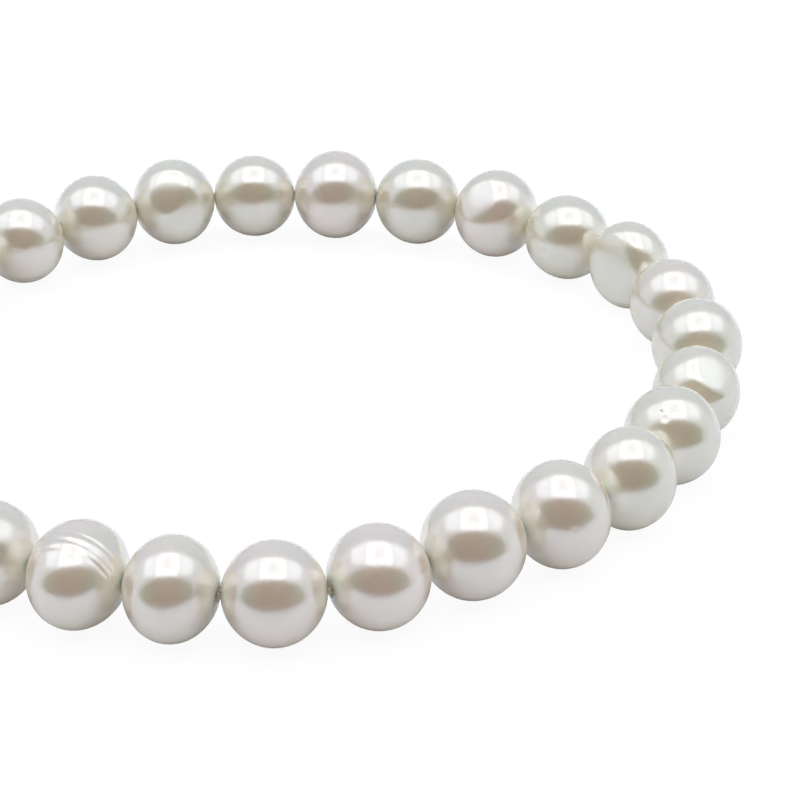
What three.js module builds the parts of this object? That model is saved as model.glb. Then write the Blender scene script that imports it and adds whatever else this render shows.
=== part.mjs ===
// A pearl bracelet: near-round cultured pearls strung face to face on a closed loop of thin elastic,
// lying flat. Millimetres, +Z up, the surface that it lies on is z = 0.

import * as THREE from 'three';
import { mergeVertices } from 'three/addons/utils/BufferGeometryUtils.js';

// The loop that the thread follows: an oval, turned a little, with its size worked out from the pearls.
const ovalRatio = 0.89; // short half-width over long half-width
const ovalTurn = THREE.MathUtils.degToRad( 10 ); // long axis, anticlockwise from +X
const firstJoint = THREE.MathUtils.degToRad( 129.5 ); // where the first pearl starts, from the long axis
const smallestOval = 20; // long half-widths between which the loop closes
const largestOval = 50;

const pearlGap = 0.15; // between neighbours, along the thread
const holeRadius = 0.45;
const cordRadius = 0.25;

const profileSteps = 10; // facets of a pearl from hole to hole
const roundSteps = 16; // facets of a pearl around its hole
const cordSides = 8;

// Pearls in order, clockwise from above: the thread that each takes up with its gap, its sizes across
// the thread and upright, and how far the joint before it lies outside the oval.
const pearls = [
	{ pitch: 6.7, across: 6.9, tall: 7.0, sway: - 0.2 },
	{ pitch: 6.9, across: 7.1, tall: 7.1, sway: 0.1 },
	{ pitch: 6.9, across: 7.1, tall: 7.2, sway: 0.1 },
	{ pitch: 6.9, across: 6.6, tall: 6.9, sway: 0.4 },
	{ pitch: 7.0, across: 7.4, tall: 7.4, sway: - 0.1 },
	{ pitch: 7.1, across: 6.9, tall: 7.2, sway: - 0.6 },
	{ pitch: 6.9, across: 7.1, tall: 7.3, sway: 0.0 },
	{ pitch: 7.1, across: 6.6, tall: 6.9, sway: - 0.1 },
	{ pitch: 6.8, across: 6.1, tall: 7.1, sway: 0.1 },
	{ pitch: 6.9, across: 6.5, tall: 6.9, sway: 0.3 },
	{ pitch: 6.9, across: 6.7, tall: 7.1, sway: 0.0 },
	{ pitch: 6.5, across: 6.3, tall: 6.8, sway: 0.3 },
	{ pitch: 6.6, across: 6.8, tall: 7.1, sway: - 0.3 },
	{ pitch: 6.5, across: 6.4, tall: 7.3, sway: 0.0 },
	{ pitch: 6.6, across: 6.9, tall: 7.4, sway: 0.1 },
	{ pitch: 6.9, across: 7.0, tall: 7.3, sway: - 0.6 },
	{ pitch: 6.7, across: 7.0, tall: 6.9, sway: - 0.4 },
	{ pitch: 6.8, across: 6.6, tall: 6.9, sway: 0.8 },
	{ pitch: 6.2, across: 6.9, tall: 7.0, sway: 0.7 },
	{ pitch: 6.4, across: 7.6, tall: 6.9, sway: - 0.2 },
	{ pitch: 6.6, across: 6.9, tall: 7.0, sway: - 0.4 },
	{ pitch: 6.7, across: 7.0, tall: 7.1, sway: 0.0 },
	{ pitch: 6.7, across: 6.8, tall: 6.9, sway: 0.1 },
	{ pitch: 6.6, across: 7.0, tall: 7.1, sway: 0.0 },
	{ pitch: 6.8, across: 6.9, tall: 7.0, sway: - 0.1 },
	{ pitch: 6.6, across: 7.0, tall: 7.1, sway: 0.1 },
	{ pitch: 6.7, across: 6.8, tall: 6.9, sway: 0.1 },
	{ pitch: 6.7, across: 6.9, tall: 7.0, sway: 0.0 },
];

// Flattened sides of the less round pearls. A flat faces turn degrees from the way that the thread runs,
// anticlockwise from above, and lift degrees up, and takes depth off the pearl there.
const flats = [
	{ pearl: 3, turn: - 75, lift: - 8, depth: 0.12 },
	{ pearl: 7, turn: - 84, lift: 42, depth: 0.15 },
	{ pearl: 9, turn: - 78, lift: 5, depth: 0.2 },
	{ pearl: 12, turn: 49, lift: 50, depth: 0.2 },
];

const nacre = new THREE.MeshStandardMaterial( { color: 0xe9e4da, roughness: 0.25, metalness: 0 } );
const clearElastic = new THREE.MeshStandardMaterial( { color: 0xcfc9bd, roughness: 0.4, metalness: 0 } );

// Where a joint with this sway lies when its angle from the long axis is known.
function jointAt( angle, halfLong, sway ) {

	const joint = new THREE.Vector2( halfLong * Math.cos( angle ), ovalRatio * halfLong * Math.sin( angle ) );
	joint.setLength( joint.length() + sway );
	return joint.rotateAround( new THREE.Vector2(), ovalTurn );

}

// Finds where an increasing function crosses zero.
function solve( low, high, rises ) {

	for ( let step = 0; step < 60; step ++ ) {

		const middle = ( low + high ) / 2;
		if ( rises( middle ) > 0 ) high = middle;
		else low = middle;

	}

	return ( low + high ) / 2;

}

// Lays the pearls nose to tail round the oval. The last of the joints is where the loop ends.
function layJoints( halfLong ) {

	let angle = firstJoint;
	const joints = [ jointAt( angle, halfLong, pearls[ 0 ].sway ) ];
	pearls.forEach( ( pearl, index ) => {

		const start = joints[ index ];
		const sway = pearls[ ( index + 1 ) % pearls.length ].sway;
		const turned = solve( 0, Math.PI / 2, step =>
			jointAt( angle - step, halfLong, sway ).distanceTo( start ) - pearl.pitch );
		angle -= turned;
		joints.push( jointAt( angle, halfLong, sway ) );

	} );
	return { joints, swept: firstJoint - angle };

}

const halfLong = solve( smallestOval, largestOval, size => 2 * Math.PI - layJoints( size ).swept );
const { joints } = layJoints( halfLong );

// Each pearl lies between its two joints, its hole along the thread, and rests on the surface.
function placeOf( pearl, index ) {

	const [ start, end ] = [ joints[ index ], joints[ index + 1 ] ];
	const middle = start.clone().add( end ).divideScalar( 2 );
	return {
		centre: new THREE.Vector3( middle.x, middle.y, pearl.tall / 2 ),
		heading: end.clone().sub( start ).angle(),
	};

}

// A drilled pearl about its own centre, +X along the thread and +Z up. Its profile closes along the hole.
function pearlGeometry( pearl, pearlFlats ) {

	const bodyRadius = pearl.tall / 2;
	const halfAlong = ( pearl.pitch - pearlGap ) / 2;
	const holeTurn = Math.asin( holeRadius / bodyRadius );
	const profile = [];
	for ( let step = 0; step <= profileSteps; step ++ ) {

		const turn = THREE.MathUtils.lerp( holeTurn, Math.PI - holeTurn, step / profileSteps );
		profile.push( new THREE.Vector2( bodyRadius * Math.sin( turn ), - halfAlong * Math.cos( turn ) ) );

	}

	profile.push( profile[ 0 ].clone() );
	const geometry = new THREE.LatheGeometry( profile, roundSteps );
	geometry.rotateZ( - Math.PI / 2 );
	const corners = geometry.attributes.position;
	const corner = new THREE.Vector3();
	for ( let index = 0; index < corners.count; index ++ ) {

		corner.fromBufferAttribute( corners, index );
		const outside = Math.hypot( corner.y, corner.z ) > holeRadius * 1.01;
		if ( outside ) corner.y *= pearl.across / pearl.tall;
		for ( const flat of pearlFlats ) {

			const over = corner.dot( flat.facing ) - flat.distance;
			if ( over > 0 ) corner.addScaledVector( flat.facing, - over );

		}

		corners.setXYZ( index, corner.x, corner.y, corner.z );

	}

	return closed( geometry );

}

// A flat's direction, and its distance from the centre of the pearl that it is on.
function flatOn( pearl, flat ) {

	const turn = THREE.MathUtils.degToRad( flat.turn );
	const lift = THREE.MathUtils.degToRad( flat.lift );
	const facing = new THREE.Vector3(
		Math.cos( lift ) * Math.cos( turn ), Math.cos( lift ) * Math.sin( turn ), Math.sin( lift ) );
	const reach = new THREE.Vector3(
		facing.x * pearl.pitch / 2, facing.y * pearl.across / 2, facing.z * pearl.tall / 2 ).length();
	return { facing, distance: reach - flat.depth };

}

// Joins a geometry's seams, so that it is one closed surface.
function closed( geometry ) {

	geometry.deleteAttribute( 'normal' );
	geometry.deleteAttribute( 'uv' );
	const whole = mergeVertices( geometry, 1e-4 );
	whole.computeVertexNormals();
	return whole;

}

// The elastic: a ring of round sections, one at each joint between two pearls.
function cordGeometry( places ) {

	const corners = [];
	const faces = [];
	const count = places.length;
	places.forEach( ( place, index ) => {

		const before = places[ ( index + count - 1 ) % count ];
		const level = ( before.centre.z + place.centre.z ) / 2;
		const along = place.centre.clone().sub( before.centre ).setZ( 0 ).normalize();
		for ( let side = 0; side < cordSides; side ++ ) {

			const turn = 2 * Math.PI * side / cordSides;
			const out = cordRadius * Math.cos( turn );
			const up = cordRadius * Math.sin( turn );
			corners.push( joints[ index ].x - along.y * out, joints[ index ].y + along.x * out, level + up );
			const next = ( index + 1 ) % count * cordSides;
			const beside = ( side + 1 ) % cordSides;
			faces.push( index * cordSides + side, index * cordSides + beside, next + side );
			faces.push( index * cordSides + beside, next + beside, next + side );

		}

	} );
	const geometry = new THREE.BufferGeometry();
	geometry.setAttribute( 'position', new THREE.Float32BufferAttribute( corners, 3 ) );
	geometry.setIndex( faces );
	geometry.computeVertexNormals();
	return geometry;

}

const bracelet = new THREE.Group();
const places = pearls.map( placeOf );

pearls.forEach( ( pearl, index ) => {

	const pearlFlats = flats.filter( flat => flat.pearl === index + 1 ).map( flat => flatOn( pearl, flat ) );
	const mesh = new THREE.Mesh( pearlGeometry( pearl, pearlFlats ), nacre.clone() );
	mesh.name = `pearl_${ String( index + 1 ).padStart( 2, '0' ) }`;
	mesh.position.copy( places[ index ].centre );
	mesh.rotation.z = places[ index ].heading;
	bracelet.add( mesh );

} );

const cord = new THREE.Mesh( cordGeometry( places ), clearElastic );
cord.name = 'elastic_cord';
bracelet.add( cord );

// The origin is under the middle of the whole bracelet.
const extent = new THREE.Box3().setFromObject( bracelet, true );
const middle = extent.getCenter( new THREE.Vector3() );
bracelet.position.set( - middle.x, - middle.y, 0 );

export default bracelet;
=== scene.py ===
import math

import bpy
from mathutils import Matrix, Vector


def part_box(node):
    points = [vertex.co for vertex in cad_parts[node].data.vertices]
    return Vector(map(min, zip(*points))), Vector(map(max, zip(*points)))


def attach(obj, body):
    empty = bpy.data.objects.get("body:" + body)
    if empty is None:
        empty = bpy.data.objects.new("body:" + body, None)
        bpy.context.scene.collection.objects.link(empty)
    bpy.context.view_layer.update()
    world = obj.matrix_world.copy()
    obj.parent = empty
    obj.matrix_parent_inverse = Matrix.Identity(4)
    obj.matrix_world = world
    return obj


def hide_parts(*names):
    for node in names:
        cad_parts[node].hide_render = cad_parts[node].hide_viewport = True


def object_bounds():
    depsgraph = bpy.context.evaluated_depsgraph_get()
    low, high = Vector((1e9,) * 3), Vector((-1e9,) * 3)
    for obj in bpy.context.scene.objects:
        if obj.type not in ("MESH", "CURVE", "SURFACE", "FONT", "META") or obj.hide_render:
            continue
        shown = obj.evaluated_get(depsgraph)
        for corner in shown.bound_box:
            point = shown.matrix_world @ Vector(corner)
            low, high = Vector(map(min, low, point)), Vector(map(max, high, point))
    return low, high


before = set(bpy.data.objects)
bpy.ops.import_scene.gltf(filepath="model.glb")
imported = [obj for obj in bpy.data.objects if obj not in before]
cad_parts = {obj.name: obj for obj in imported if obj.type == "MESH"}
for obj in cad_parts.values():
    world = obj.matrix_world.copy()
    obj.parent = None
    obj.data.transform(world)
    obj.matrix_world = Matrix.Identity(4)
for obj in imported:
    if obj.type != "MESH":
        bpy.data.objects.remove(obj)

# A pearl bracelet on elastic, lying on a pale surface. Lengths in the dictionaries are millimetres
# and angles are degrees, unless a note says otherwise.

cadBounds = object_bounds()
millimetre = 0.001
white = (1.0, 1.0, 1.0, 1.0)


# A node socket that can be added, multiplied and so on.
class Wire:
    def __init__(self, graph, socket):
        self.graph = graph
        self.socket = socket

    def math(self, operation, *others):
        return self.graph.math(operation, self, *others)

    def __add__(self, other):
        return self.math("ADD", other)

    def __sub__(self, other):
        return self.math("SUBTRACT", other)

    def __rsub__(self, other):
        return self.graph.math("SUBTRACT", other, self)

    def __mul__(self, other):
        return self.math("MULTIPLY", other)

    def __truediv__(self, other):
        return self.math("DIVIDE", other)

    __radd__ = __add__
    __rmul__ = __mul__


class Graph:
    def __init__(self, tree):
        self.tree = tree

    # kind of node, settings that come first, then socket values or wires; out picks the outputs
    def add(self, kind, settings=None, values=None, out=0):
        node = self.tree.nodes.new(kind)
        for name, setting in (settings or {}).items():
            setattr(node, name, setting)
        for key, value in (values or {}).items():
            if isinstance(value, Wire):
                self.tree.links.new(value.socket, node.inputs[key])
            else:
                node.inputs[key].default_value = value
        if isinstance(out, (list, tuple)):
            return [Wire(self, node.outputs[key]) for key in out]
        return Wire(self, node.outputs[out]) if len(node.outputs) else None

    def math(self, operation, *terms):
        return self.add("ShaderNodeMath", {"operation": operation}, dict(enumerate(terms)))

    def vector(self, operation, *terms, out=0):
        return self.add("ShaderNodeVectorMath", {"operation": operation}, dict(enumerate(terms)), out)

    def dot(self, first, second):
        return self.vector("DOT_PRODUCT", first, second, out="Value")

    def scaled(self, vector, factor):
        return self.add("ShaderNodeVectorMath", {"operation": "SCALE"}, {0: vector, "Scale": factor})

    def joined(self, x, y, z):
        return self.add("ShaderNodeCombineXYZ", None, {0: x, 1: y, 2: z})

    def split(self, vector):
        return self.add("ShaderNodeSeparateXYZ", None, {0: vector}, (0, 1, 2))

    # 0 below low, 1 above high, eased in between
    def ease(self, value, low, high):
        return self.add("ShaderNodeMapRange", {"interpolation_type": "SMOOTHSTEP"},
                        {"Value": value, "From Min": low, "From Max": high})

    # colours; the sockets of a colour Mix are the factor, 6 and 7, and its result is 2
    def blend(self, factor, first, second):
        return self.add("ShaderNodeMix", {"data_type": "RGBA", "clamp_factor": True},
                        {0: factor, 6: first, 7: second}, out=2)

    def noise(self, place, scale, detail=2.0, roughness=0.5, seed=None):
        settings = {"noise_dimensions": "3D" if seed is None else "4D"}
        values = {"Vector": place, "Scale": scale, "Detail": detail, "Roughness": roughness}
        if seed is not None:
            values["W"] = seed
        return self.add("ShaderNodeTexNoise", settings, values)


# inputs of a Geometry Nodes tree, as wires by name
def openTree(name, sockets):
    tree = bpy.data.node_groups.new(name, "GeometryNodeTree")
    for label, kind in sockets.items():
        tree.interface.new_socket(label, in_out="INPUT", socket_type="NodeSocket" + kind)
    tree.interface.new_socket("Geometry", in_out="OUTPUT", socket_type="NodeSocketGeometry")
    graph = Graph(tree)
    wires = graph.add("NodeGroupInput", None, None, list(sockets))
    return graph, dict(zip(sockets, wires))


# the end of every tree: real geometry with its material
def closeTree(graph, geometry, material):
    real = graph.add("GeometryNodeRealizeInstances", None, {0: geometry})
    painted = graph.add("GeometryNodeSetMaterial", None, {0: real, "Material": material})
    graph.add("NodeGroupOutput", None, {0: painted})
    return graph.tree


# a tree's result as a plain mesh object, with no modifier left on it
def makePiece(name, mesh, tree, values):
    piece = bpy.data.objects.new(name, mesh)
    modifier = piece.modifiers.new("shape", "NODES")
    modifier.node_group = tree
    for item in tree.interface.items_tree:
        if item.in_out == "INPUT" and item.name in values:
            modifier[item.identifier] = values[item.name]
    bpy.context.scene.collection.objects.link(piece)
    depsgraph = bpy.context.evaluated_depsgraph_get()
    shaped = bpy.data.meshes.new_from_object(piece.evaluated_get(depsgraph),
                                             preserve_all_data_layers=True, depsgraph=depsgraph)
    shaped.name = name
    piece.modifiers.remove(modifier)
    piece.data = shaped
    return piece


def keepPiece(piece, node):
    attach(piece, "root")
    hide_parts(node)


pearlMesh = {"around": 112, "rows": 84}
fineMesh = {"around": 192, "rows": 144}      # for pearls with fine flaws
holeRows = 3                                 # rows back through the hole

pearlSkin = {
    "swell": 0.045,          # slow unevenness of the round, and how many swells to a millimetre
    "swells": 0.22,
    "swell level": 0.84,     # noise above this lifts the skin and noise below it lowers the skin
    "ripple": 0.0035,        # fine unevenness that bends the reflections
    "ripples": 1.1,
    "ripple level": 0.6,
    "ripple seed": 7.0,      # past the pearl's own seed
    "rim": 0.05,             # the skin is even this near to the hole's edge
    "calm": 2.0,             # and wholly uneven this far from it
    "painted gap light reach": 2.2,        # how far the painted light near the hole reaches: a lighter body colour that stands in for light carried into the gaps between pearls
    "touch": 0.02,           # left between neighbours
    "weld": 0.001,           # corners closer than this become one
}
seedStep = 3.7               # between one pearl's seed and the next one's

flatNumbers = (1, 2)         # one pearl has at most this many flats and dents
dentNumbers = (1, 2, 3)
ringCount = 3
ringFade = (0.1, 0.6)        # rings start and are full at these heights on a ball of radius 1

# Flaws by pearl. turn is from the way that the thread runs, anticlockwise from above, and lift is up.
# A flat has its depth, the softness of its edge, the bend left in it, and its dullness. A dent has its
# reach and depth, and one with a negative depth is a bump. Rings lie about a pole, the first of them
# this many degrees from it and the others each a step further.
pearlFlaws = {
    3: {"flats": [{"turn": -110, "lift": 38, "depth": 0.3, "soft": 0.25, "bend": 0.1},
                  {"turn": -84, "lift": 8, "depth": 0.3, "soft": 0.4, "bend": 0.11, "dull": 0.1}]},
    7: {"flats": [{"turn": -98, "lift": 40, "depth": 0.3, "soft": 0.35, "bend": 0.11, "dull": 0.1}]},
    8: {"flats": [{"turn": -20, "lift": 18, "depth": 0.06, "soft": 0.12, "bend": 0.1}]},
    9: {"flats": [{"turn": -83, "lift": 9, "depth": 0.8, "soft": 0.8, "bend": 0.07}]},
    12: {"flats": [{"turn": 64, "lift": 51, "depth": 0.34, "soft": 0.3, "bend": 0.1}]},
    13: {"dents": [{"turn": -9, "lift": 57, "reach": 3.0, "depth": 0.09},
                   {"turn": 2, "lift": 50, "reach": 8.0, "depth": 0.03},
                   {"turn": 59, "lift": 27, "reach": 3.0, "depth": -0.02}]},
    15: {"dents": [{"turn": 70, "lift": 16, "reach": 4.0, "depth": 0.02},
                   {"turn": 62, "lift": 20, "reach": 3.0, "depth": 0.015}]},
    20: {"rings": {"turn": 91, "lift": -4, "first": 66, "apart": 11, "depth": 0.04}},
}

# body colour by pearl, from sage at 0 to rose at 1
plainOvertone = 0.5
overtones = {1: 0.4, 2: 0.3, 3: 0.2, 4: 0.2, 5: 0.6, 6: 0.2, 7: 0.55, 8: 0.15, 9: 0.15, 10: 0.4, 11: 0.2,
             12: 0.15, 13: 0.2, 14: 0.25, 15: 0.5, 16: 0.6, 17: 0.7, 18: 0.7, 19: 0.5, 20: 0.5}


def facing(turn, lift):
    turn, lift = math.radians(turn), math.radians(lift)
    return Vector((math.cos(lift) * math.cos(turn), math.cos(lift) * math.sin(turn), math.sin(lift)))


shortestWall = 0.7           # edge of a hole's wall, in pearl heights


# Where a pearl lies, which way its hole runs, and its sizes. The walls of the hole are the only faces
# with edges nearly as long as the pearl.
def readPearl(node, loopMiddle):
    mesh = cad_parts[node].data
    places = [corner.co / millimetre for corner in mesh.vertices]
    low, high = (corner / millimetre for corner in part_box(node))
    longEdge = shortestWall * (high.z - low.z)
    wall = [places[corner] for edge in mesh.edges for corner in edge.vertices
            if (places[edge.vertices[0]] - places[edge.vertices[1]]).length > longEdge]
    centre = sum(wall, Vector()) / len(wall)
    towards = wall[0] - wall[1]
    ends = [[spot for spot in wall if (spot - centre).dot(towards) * side > 0] for side in (1, -1)]
    rims = [sum(end, Vector()) / len(end) for end in ends]
    along = (rims[0] - rims[1]).normalized()
    out = Vector((0, 0, 1)).cross(along)
    if out.dot(centre - loopMiddle) < 0:
        along, out = -along, -out
    local = [spot - centre for spot in places]
    height = 2 * max(abs(spot.z) for spot in local)
    hole = sum((spot - rims[0]).length for spot in ends[0]) / len(ends[0])
    holeTurn = math.asin(2 * hole / height)
    return {
        "Centre": centre,
        "Heading": math.atan2(along.y, along.x),
        "Length": (rims[0] - rims[1]).length / math.cos(holeTurn),
        "Width": 2 * max(abs(spot.dot(out)) for spot in local),
        "Height": height,
        "Hole": hole,
    }


def headingOf(pearl):
    return facing(math.degrees(pearl["Heading"]), 0)


# The joints of the thread, between each pearl and the next. The pearls are drawn out to meet there, where
# two neighbours touch on the inner side of the loop, beside or on the edges of their holes.
def closeUp(pearls):
    joints = []
    spare = []               # what each end keeps short of its joint, so that the inner sides don't meet
    for number, here in enumerate(pearls):
        after = pearls[(number + 1) % len(pearls)]
        ends = [pearl["Centre"] + side * pearl["Length"] / 2 * headingOf(pearl)
                for pearl, side in ((here, 1), (after, -1))]
        halfBend = math.sin(headingOf(here).angle(headingOf(after)) / 2)
        curve = sum(pearl["Length"] / pearl["Width"] ** 2 for pearl in (here, after))
        meet = max(here["Hole"], halfBend / curve)
        joints.append((ends[0] + ends[1]) / 2)
        spare.append(meet * halfBend - curve * meet ** 2 / 2 + pearlSkin["touch"] / 2)
    for number, pearl in enumerate(pearls):
        heading = headingOf(pearl)
        ahead = (joints[number] - pearl["Centre"]).dot(heading) - spare[number]
        behind = (pearl["Centre"] - joints[number - 1]).dot(heading) - spare[number - 1]
        pearl["Centre"] = pearl["Centre"] + heading * (ahead - behind) / 2
        pearl["Length"] = ahead + behind
    return joints


def makePearlTree(nacre):
    flawSockets = {}
    for number in flatNumbers:
        flawSockets.update({f"Flat {number}": "Vector", f"Flat {number} Depth": "Float",
                            f"Flat {number} Softness": "Float", f"Flat {number} Bend": "Float",
                            f"Flat {number} Dullness": "Float"})
    for number in dentNumbers:
        flawSockets.update({f"Dent {number}": "Vector", f"Dent {number} Depth": "Float",
                            f"Dent {number} Reach": "Float"})
    graph, given = openTree("pearlTree", {
        "Around": "Int", "Rows": "Int",
        "Length": "Float", "Width": "Float", "Height": "Float", "Hole": "Float",
        "Centre": "Vector", "Heading": "Float", "Seed": "Float", "Overtone": "Float",
        **flawSockets,
        "Ring Pole": "Vector", "Ring First": "Float", "Ring Apart": "Float", "Ring Depth": "Float",
    })

    # a grid whose one way is around the hole, and whose other is along the pearl and back through the hole
    sheet, sheetUv = graph.add("GeometryNodeMeshGrid", None, {
        "Size X": 1.0, "Size Y": 1.0, "Vertices X": given["Around"] + 1,
        "Vertices Y": given["Rows"] + (holeRows + 1)}, (0, 1))
    gridX, gridY, _ = graph.split(graph.add("GeometryNodeInputPosition"))
    outerShare = given["Rows"] / (given["Rows"] + holeRows)
    share = gridY + 0.5
    outer = (share / outerShare).math("MINIMUM", 1.0)
    back = ((share - outerShare) / (1 - outerShare)).math("MAXIMUM", 0.0)

    halfLength, halfWidth, halfHeight = (given[name] * 0.5 for name in ("Length", "Width", "Height"))
    firstTurn = (given["Hole"] / halfHeight).math("ARCSINE")
    turn = firstTurn + outer * (math.pi - 2 * firstTurn)
    reach = halfHeight * turn.math("SINE")
    along = -1 * halfLength * turn.math("COSINE") * (1 - 2 * back)
    around = (gridX + 0.5) * (2 * math.pi)
    widening = (halfWidth - given["Hole"]) / (halfHeight - given["Hole"])
    across = around.math("COSINE") * (given["Hole"] + (reach - given["Hole"]) * widening)
    up = around.math("SINE") * reach
    place = graph.joined(along, across, up)

    # 0 at the hole's edge and 1 on the open skin
    skin = graph.ease(reach, given["Hole"] + pearlSkin["rim"], given["Hole"] + pearlSkin["calm"])
    squares = graph.joined(halfLength * halfLength, halfWidth * halfWidth, halfHeight * halfHeight)
    outward = graph.vector("NORMALIZE", graph.vector("DIVIDE", place, squares))
    direction = graph.vector("NORMALIZE", place)

    slow = graph.noise(place, pearlSkin["swells"], 1.0, seed=given["Seed"])
    fine = graph.noise(place, pearlSkin["ripples"], 2.0, seed=given["Seed"] + pearlSkin["ripple seed"])
    swell = (slow - pearlSkin["swell level"]) * (2 * pearlSkin["swell"])
    ripple = (fine - pearlSkin["ripple level"]) * (2 * pearlSkin["ripple"])
    rise = swell + ripple
    for number in dentNumbers:
        away = graph.dot(direction, given[f"Dent {number}"]).math("ARCCOSINE")
        within = 1 - graph.ease(away, 0.0, given[f"Dent {number} Reach"])
        rise = rise - given[f"Dent {number} Depth"] * within
    pole = graph.dot(direction, given["Ring Pole"]).math("ARCCOSINE")
    ring = (pole - given["Ring First"]) / given["Ring Apart"]
    inRings = graph.ease(ring, -0.5, 0.0) * (1 - graph.ease(ring, ringCount - 1.0, ringCount - 0.5))
    groove = (ring * (2 * math.pi)).math("COSINE") * 0.5 + 0.5
    upper = graph.ease(graph.split(direction)[2], *ringFade)
    rise = rise - given["Ring Depth"] * inRings * upper * groove * groove
    place = graph.vector("ADD", place, graph.scaled(outward, rise * skin))

    # a flat is cut where the skin passes a nearly plane surface, with an eased edge
    dullness = 0.0
    for number in flatNumbers:
        flat = given[f"Flat {number}"]
        depth = given[f"Flat {number} Depth"]
        support = graph.vector("LENGTH", graph.vector(
            "MULTIPLY", flat, graph.joined(halfLength, halfWidth, halfHeight)), out="Value")
        towards = graph.dot(place, flat)
        left = given[f"Flat {number} Bend"] * (graph.dot(place, place) - towards * towards) * 0.5
        over = towards - (support - depth) + left
        cut = graph.math("SMOOTH_MAX", over, 0.0, given[f"Flat {number} Softness"])
        place = graph.vector("SUBTRACT", place, graph.scaled(flat, cut))
        dullness = dullness + given[f"Flat {number} Dullness"] * graph.ease(over, 0.0, depth)

    # marks for the finish and for the painted light near the hole, put on before the sheet is bent because
    # they are worked out from where it lies
    shaped = sheet
    # painted light: 1 at the hole's edge and fading out from it, where the body colour is lightened to
    # stand in for light carried into the gaps
    paintedGapLight = 1 - graph.ease(reach, given["Hole"], given["Hole"] + pearlSkin["painted gap light reach"])
    marks = {"overtone": given["Overtone"], "paintedGapLight": paintedGapLight, "dullness": dullness}
    for name, mark in marks.items():
        shaped = graph.add("GeometryNodeStoreNamedAttribute", {"data_type": "FLOAT", "domain": "POINT"},
                           {"Geometry": shaped, "Name": name, "Value": mark})
    shaped = graph.add("GeometryNodeStoreNamedAttribute", {"data_type": "FLOAT2", "domain": "CORNER"},
                       {"Geometry": shaped, "Name": "UVMap", "Value": sheetUv})
    shaped = graph.add("GeometryNodeSetPosition", None, {"Geometry": shaped, "Position": place})
    closed = graph.add("GeometryNodeMergeByDistance", None, {
        "Geometry": shaped, "Distance": pearlSkin["weld"]})
    smooth = graph.add("GeometryNodeSetShadeSmooth", None, {"Geometry": closed, "Shade Smooth": True})
    placed = graph.add("GeometryNodeTransform", None, {
        "Geometry": smooth, "Translation": graph.scaled(given["Centre"], millimetre),
        "Rotation": graph.joined(0.0, 0.0, given["Heading"]),
        "Scale": (millimetre, millimetre, millimetre)})
    return closeTree(graph, placed, nacre)


# A pearl's flaws as the tree's inputs. The tree divides by Ring Apart, so it has a value on every pearl.
def flawValues(flaws):
    values = {"Ring Apart": 1.0}
    for number, flat in enumerate(flaws.get("flats", []), 1):
        values.update({f"Flat {number}": facing(flat["turn"], flat["lift"]),
                       f"Flat {number} Depth": flat["depth"], f"Flat {number} Softness": flat["soft"],
                       f"Flat {number} Bend": flat["bend"],
                       f"Flat {number} Dullness": flat.get("dull", 0.0)})
    for number, dent in enumerate(flaws.get("dents", []), 1):
        values.update({f"Dent {number}": facing(dent["turn"], dent["lift"]),
                       f"Dent {number} Depth": dent["depth"],
                       f"Dent {number} Reach": math.radians(dent["reach"])})
    rings = flaws.get("rings")
    if rings:
        values.update({"Ring Pole": facing(rings["turn"], rings["lift"]),
                       "Ring First": math.radians(rings["first"]),
                       "Ring Apart": math.radians(rings["apart"]), "Ring Depth": rings["depth"]})
    return values


def makePearls(nacre):
    tree = makePearlTree(nacre)
    nodes = sorted(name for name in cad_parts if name.startswith("pearl_"))
    loopMiddle = (cadBounds[0] + cadBounds[1]) / 2 / millimetre
    pearls = [readPearl(node, loopMiddle) for node in nodes]
    joints = closeUp(pearls)
    for number, (node, pearl) in enumerate(zip(nodes, pearls), 1):
        flaws = pearlFlaws.get(number, {})
        mesh = fineMesh if "dents" in flaws or "rings" in flaws else pearlMesh
        values = {**pearl, **flawValues(flaws), "Around": mesh["around"], "Rows": mesh["rows"],
                  "Seed": seedStep * number, "Overtone": overtones.get(number, plainOvertone)}
        piece = makePiece(f"nacre_{node}", bpy.data.meshes.new(node), tree, values)
        keepPiece(piece, node)
    print("pearls:", len(pearls))
    return joints


elastic = {
    "thickness": 0.5,
    "sides": 12,
    "clear": (0.62, 0.57, 0.43, 1.0),
    "cloudy": (0.52, 0.47, 0.34, 1.0),
    "clouds": 2.0,           # to a millimetre
    "roughness": 0.3,
}


def makeElasticTree(material):
    graph, given = openTree("elasticTree", {"Geometry": "Geometry", "Thickness": "Float"})
    line = graph.add("GeometryNodeMeshToCurve", None, {0: given["Geometry"]})
    ring = graph.add("GeometryNodeCurvePrimitiveCircle", None,
                     {"Resolution": elastic["sides"], "Radius": given["Thickness"] * (millimetre / 2)})
    tube = graph.add("GeometryNodeCurveToMesh", None, {"Curve": line, "Profile Curve": ring})
    smooth = graph.add("GeometryNodeSetShadeSmooth", None, {"Geometry": tube, "Shade Smooth": True})
    return closeTree(graph, smooth, material)


def makeElastic(joints, material):
    count = len(joints)
    mesh = bpy.data.meshes.new("elasticLine")
    steps = [(spot, (spot + 1) % count) for spot in range(count)]
    mesh.from_pydata([joint * millimetre for joint in joints], steps, [])
    piece = makePiece("clear_elastic", mesh, makeElasticTree(material), {"Thickness": elastic["thickness"]})
    keepPiece(piece, "elastic_cord")
    print("elastic:", len(piece.data.vertices), "corners")


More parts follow.
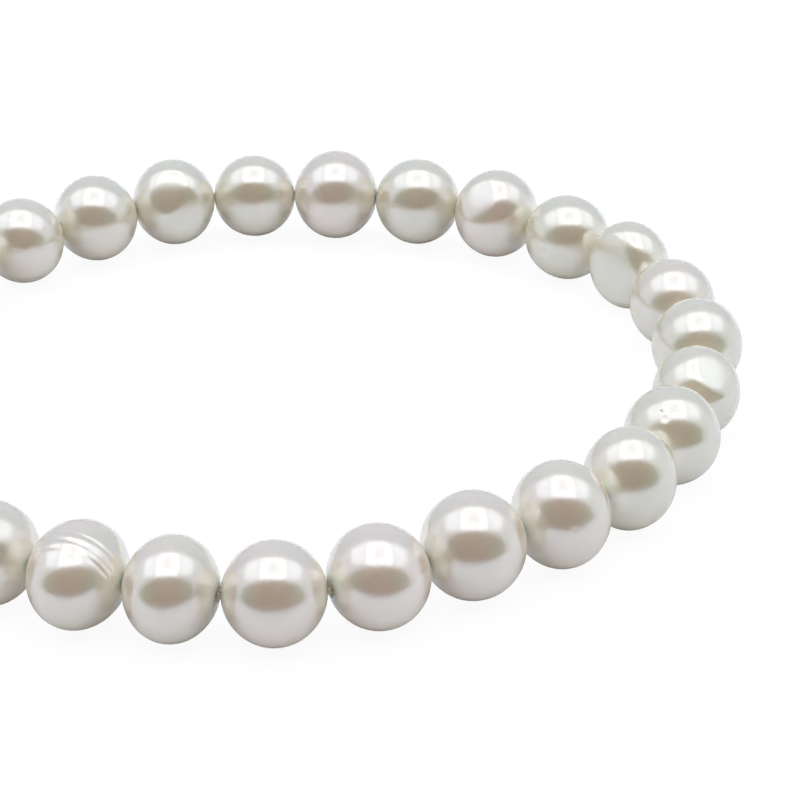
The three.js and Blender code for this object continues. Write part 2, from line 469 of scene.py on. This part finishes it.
nacreFinish = {
    "rose": (0.71, 0.60, 0.50, 1.0),
    "sage": (0.665, 0.615, 0.465, 1.0),
    "painted gap light colour": (1.0, 0.90, 0.72, 1.0),         # painted light near the hole, standing in for light carried into the gaps between pearls
    "clouds": 0.35,                          # of overtone, to a millimetre
    "cloud depth": 1.2,
    "roughness": 0.155,
    "rougher": 0.07,                         # by place, and how many such places to a millimetre
    "rough places": 0.9,
    "rougher where dull": 0.4,
    "grains": 6.0,                           # to a millimetre
    "grain": 0.05,
    "grain height": 0.0001,                  # metres
    "mirror": 3.8,                           # the broad mirror's index of refraction, and its colour
    "mirror tint": (0.94, 0.975, 1.0, 1.0),
    "glow": 0.0035,                          # how far light spreads under the skin, metres
    "glow by colour": (1.0, 0.85, 0.7),
    "coat": 0.4,                             # the sharper mirror on top
    "coat roughness": 0.08,
}


def makeMaterial(name):
    material = bpy.data.materials.new(name)
    material.use_nodes = True
    material.node_tree.nodes.clear()
    return material, Graph(material.node_tree)


def makeNacre():
    material, graph = makeMaterial("nacre")
    place = graph.scaled(graph.add("ShaderNodeTexCoord", out="Object"), 1 / millimetre)
    overtone = graph.add("ShaderNodeAttribute", {"attribute_name": "overtone"}, out="Fac")
    paintedGapLight = graph.add("ShaderNodeAttribute", {"attribute_name": "paintedGapLight"}, out="Fac")
    dullness = graph.add("ShaderNodeAttribute", {"attribute_name": "dullness"}, out="Fac")
    cloud = graph.noise(place, nacreFinish["clouds"], 2.0)
    tone = graph.ease(overtone + (cloud - 0.5) * nacreFinish["cloud depth"], 0.0, 1.0)
    body = graph.blend(tone, nacreFinish["sage"], nacreFinish["rose"])
    # painted light: the body is lightened near the hole, where neighbours meet, standing in for light
    # carried into the gaps
    body = graph.blend(paintedGapLight, body, nacreFinish["painted gap light colour"])
    rougher = graph.noise(place, nacreFinish["rough places"], 3.0) * nacreFinish["rougher"]
    roughness = nacreFinish["roughness"] + rougher + dullness * nacreFinish["rougher where dull"]
    grain = graph.noise(place, nacreFinish["grains"], 3.0, 0.6)
    bump = graph.add("ShaderNodeBump", None, {
        "Strength": nacreFinish["grain"], "Distance": nacreFinish["grain height"], "Height": grain})
    shader = graph.add("ShaderNodeBsdfPrincipled", None, {
        "Base Color": body, "Roughness": roughness, "IOR": nacreFinish["mirror"],
        "Specular Tint": nacreFinish["mirror tint"], "Subsurface Weight": 1.0,
        "Subsurface Radius": nacreFinish["glow by colour"], "Subsurface Scale": nacreFinish["glow"],
        "Coat Weight": nacreFinish["coat"], "Coat Roughness": nacreFinish["coat roughness"],
        "Coat IOR": 1.5, "Normal": bump})
    graph.add("ShaderNodeOutputMaterial", None, {"Surface": shader})
    return material


def makeElasticMaterial():
    material, graph = makeMaterial("clearElastic")
    place = graph.scaled(graph.add("ShaderNodeTexCoord", out="Object"), 1 / millimetre)
    colour = graph.blend(graph.noise(place, elastic["clouds"]), elastic["clear"], elastic["cloudy"])
    shader = graph.add("ShaderNodeBsdfPrincipled", None, {
        "Base Color": colour, "Roughness": elastic["roughness"], "IOR": 1.5, "Subsurface Weight": 0.5,
        "Subsurface Radius": (1.0, 1.0, 1.0), "Subsurface Scale": 0.0005})
    graph.add("ShaderNodeOutputMaterial", None, {"Surface": shader})
    return material


# Light comes from everywhere but the front: from pale walls, and from a lit ceiling with a brighter pane
# in its middle and one at each side. What is in front of the bracelet is dark.
studio = {
    "floor": (0.93, 0.945, 0.965, 1.0),
    "far floor painted shade": (0.25, 0.25, 0.25, 1.0),
    "floor width": 3.0,                  # metres
    "floor painted shade span": (-0.036, -0.085),      # painted shade: the floor darkens from here to here, towards the front, in metres
    "shade seen": 0.09,                  # how much of the shade on the floor the camera sees
    "floor glow": 1.02,
    "back wall": (0.54, 0.645, 0.82, 1.0),
    "side walls": (0.88, 0.93, 1.02, 1.0),
    "ceiling": (1.14, 1.23, 1.38, 1.0),
    "middle pane": (2.3, 2.3, 2.4, 1.0),
    "pane patch": (1.6, 1.6, 1.68, 1.0),  # dimmer, in the middle of the middle pane
    "side panes": (1.6, 1.7, 1.85, 1.0),
    "front middle": (0.11, 0.05, 0.04, 1.0),
    "front ends": (0.08, 0.17, 0.12, 1.0),
}

# where each part of the studio starts or ends, with half the width of its soft edge
studioEdges = {
    "middle pane": (26, 2),              # sideways from overhead
    "side pane start": (31, 2),
    "side pane end": (58, 2),
    "ceiling side": (59, 3),
    "patch side": (12, 2),
    "patch front": (-14, 2),             # towards the back from overhead
    "patch back": (14, 2),
    "ceiling back": (23, 4),
    "back wall": (28.5, 3.5),
    "front foot": (-3, 2),               # up from level
}
paneNarrowing = 0.22                     # degrees sideways for each degree towards the back

# The ceiling's front edge: the light comes in between these cosines of the angle to a direction that
# is lift degrees up at the back.
litCeiling = {"lift": 50, "from": 0.31, "to": 0.38}

# The dark front, with its sizes as sines of angles half way between a direction and its middle.
darkFront = {
    "lift": 31,
    "across": 0.61,
    "up": 0.30,
    "shift": -0.05,                      # of its outline, upwards
    "edge": (0.83, 1.1),                 # where it fades out, in half sizes
    "ends": (0.35, 0.8),                 # where the colour of its ends comes in, in half widths
}


# Lighting sees the floor with a painted shade that darkens it towards the front. The camera sees it paler,
# so that its shades stay faint.
def makeFloor():
    half = studio["floor width"] / 2
    mesh = bpy.data.meshes.new("floor")
    corners = [(-half, -half, 0), (half, -half, 0), (half, half, 0), (-half, half, 0)]
    mesh.from_pydata(corners, [], [(0, 1, 2, 3)])
    material, graph = makeMaterial("paleFloor")
    _, towardsBack, _ = graph.split(graph.add("ShaderNodeTexCoord", out="Object"))
    # painted shade: the floor is darker towards the front, standing in for less light falling on the floor
    # there
    start, end = studio["floor painted shade span"]
    pale = graph.blend(graph.ease(towardsBack, end, start), studio["far floor painted shade"], studio["floor"])
    matt = graph.add("ShaderNodeBsdfDiffuse", None, {"Color": pale})
    glow = graph.add("ShaderNodeEmission", None, {"Color": white, "Strength": studio["floor glow"]})
    toCamera = graph.add("ShaderNodeLightPath", out="Is Camera Ray")
    whiteShare = toCamera * (1 - studio["shade seen"])
    seen = graph.add("ShaderNodeMixShader", None, {0: whiteShare, 1: matt, 2: glow})
    graph.add("ShaderNodeOutputMaterial", None, {"Surface": seen})
    mesh.materials.append(material)
    floor = bpy.data.objects.new("floor", mesh)
    bpy.context.scene.collection.objects.link(floor)


def makeLight():
    world = bpy.data.worlds.new("studio")
    bpy.context.scene.world = world
    world.use_nodes = True
    world.node_tree.nodes.clear()
    graph = Graph(world.node_tree)
    direction = graph.add("ShaderNodeTexCoord", out="Generated")
    x, y, z = graph.split(direction)

    # 0 before a part's edge and 1 past it
    def past(name, value):
        middle, soft = studioEdges[name]
        return graph.ease(value, math.radians(middle - soft), math.radians(middle + soft))

    back = y.math("ARCSINE")
    height = z.math("ARCSINE")
    sideways = graph.math("ARCTAN2", x.math("ABSOLUTE"), z) + back * paneNarrowing
    tilted = graph.dot(direction, tuple(facing(90, litCeiling["lift"])))
    lit = graph.ease(tilted, litCeiling["from"], litCeiling["to"])
    ceiling = lit * (1 - past("ceiling back", back))
    middlePane = ceiling * (1 - past("middle pane", sideways))
    sidePane = ceiling * past("side pane start", sideways) * (1 - past("side pane end", sideways))
    overhead = ceiling * (1 - past("ceiling side", sideways))
    patch = (1 - past("patch side", sideways)) * past("patch front", back) * (1 - past("patch back", back))

    # the dark front is round when it's mirrored in a ball, so its outline is an ellipse half way to it
    frontMiddle = tuple(facing(-90, darkFront["lift"]))
    frontUp = tuple(facing(-90, darkFront["lift"] + 90))
    half = graph.vector("NORMALIZE", graph.vector("ADD", direction, frontMiddle))
    across = graph.dot(half, (1.0, 0.0, 0.0)) / darkFront["across"]
    upwards = (graph.dot(half, frontUp) - darkFront["shift"]) / darkFront["up"]
    outline = (across * across + upwards * upwards).math("SQRT")
    front = (1 - lit) * past("front foot", height) * (1 - graph.ease(outline, *darkFront["edge"]))

    colour = graph.blend(past("back wall", back), studio["side walls"], studio["back wall"])
    colour = graph.blend(overhead, colour, studio["ceiling"])
    colour = graph.blend(sidePane, colour, studio["side panes"])
    middleColour = graph.blend(patch, studio["middle pane"], studio["pane patch"])
    colour = graph.blend(middlePane, colour, middleColour)
    towardsEnds = graph.ease(across.math("ABSOLUTE"), *darkFront["ends"])
    dark = graph.blend(towardsEnds, studio["front middle"], studio["front ends"])
    colour = graph.blend(front, colour, dark)
    toCamera = graph.add("ShaderNodeLightPath", out="Is Camera Ray")
    colour = graph.blend(toCamera, colour, white)
    background = graph.add("ShaderNodeBackground", None, {"Color": colour, "Strength": 1.0})
    graph.add("ShaderNodeOutputWorld", None, {"Surface": background})


camera = {
    "aim": (9.45, 0.4, 0.0),
    "distance": 160.46,
    "elevation": 30.98,
    "roll": -0.64,
    "lens": 97.155,
    "sensor": 36.0,
    "nearest": 0.005,        # that it sees, and the furthest, in metres
    "furthest": 20.0,
}


def makeCamera():
    data = bpy.data.cameras.new("camera")
    data.lens = camera["lens"]
    data.sensor_width = camera["sensor"]
    data.clip_start = camera["nearest"]
    data.clip_end = camera["furthest"]
    body = bpy.data.objects.new("camera", data)
    bpy.context.scene.collection.objects.link(body)
    back = facing(-90, camera["elevation"])
    aim = Vector(camera["aim"])
    turn = (-back).to_track_quat("-Z", "Y").to_matrix().to_4x4() @ Matrix.Rotation(
        math.radians(camera["roll"]), 4, "Z")
    body.matrix_world = Matrix.Translation((aim + back * camera["distance"]) * millimetre) @ turn
    bpy.context.scene.camera = body


def makeScene():
    bpy.context.scene.view_settings.view_transform = "Standard"
    makeCamera()
    makeFloor()
    makeLight()
    print("camera, floor and light: done")
    joints = makePearls(makeNacre())
    makeElastic(joints, makeElasticMaterial())


makeScene()
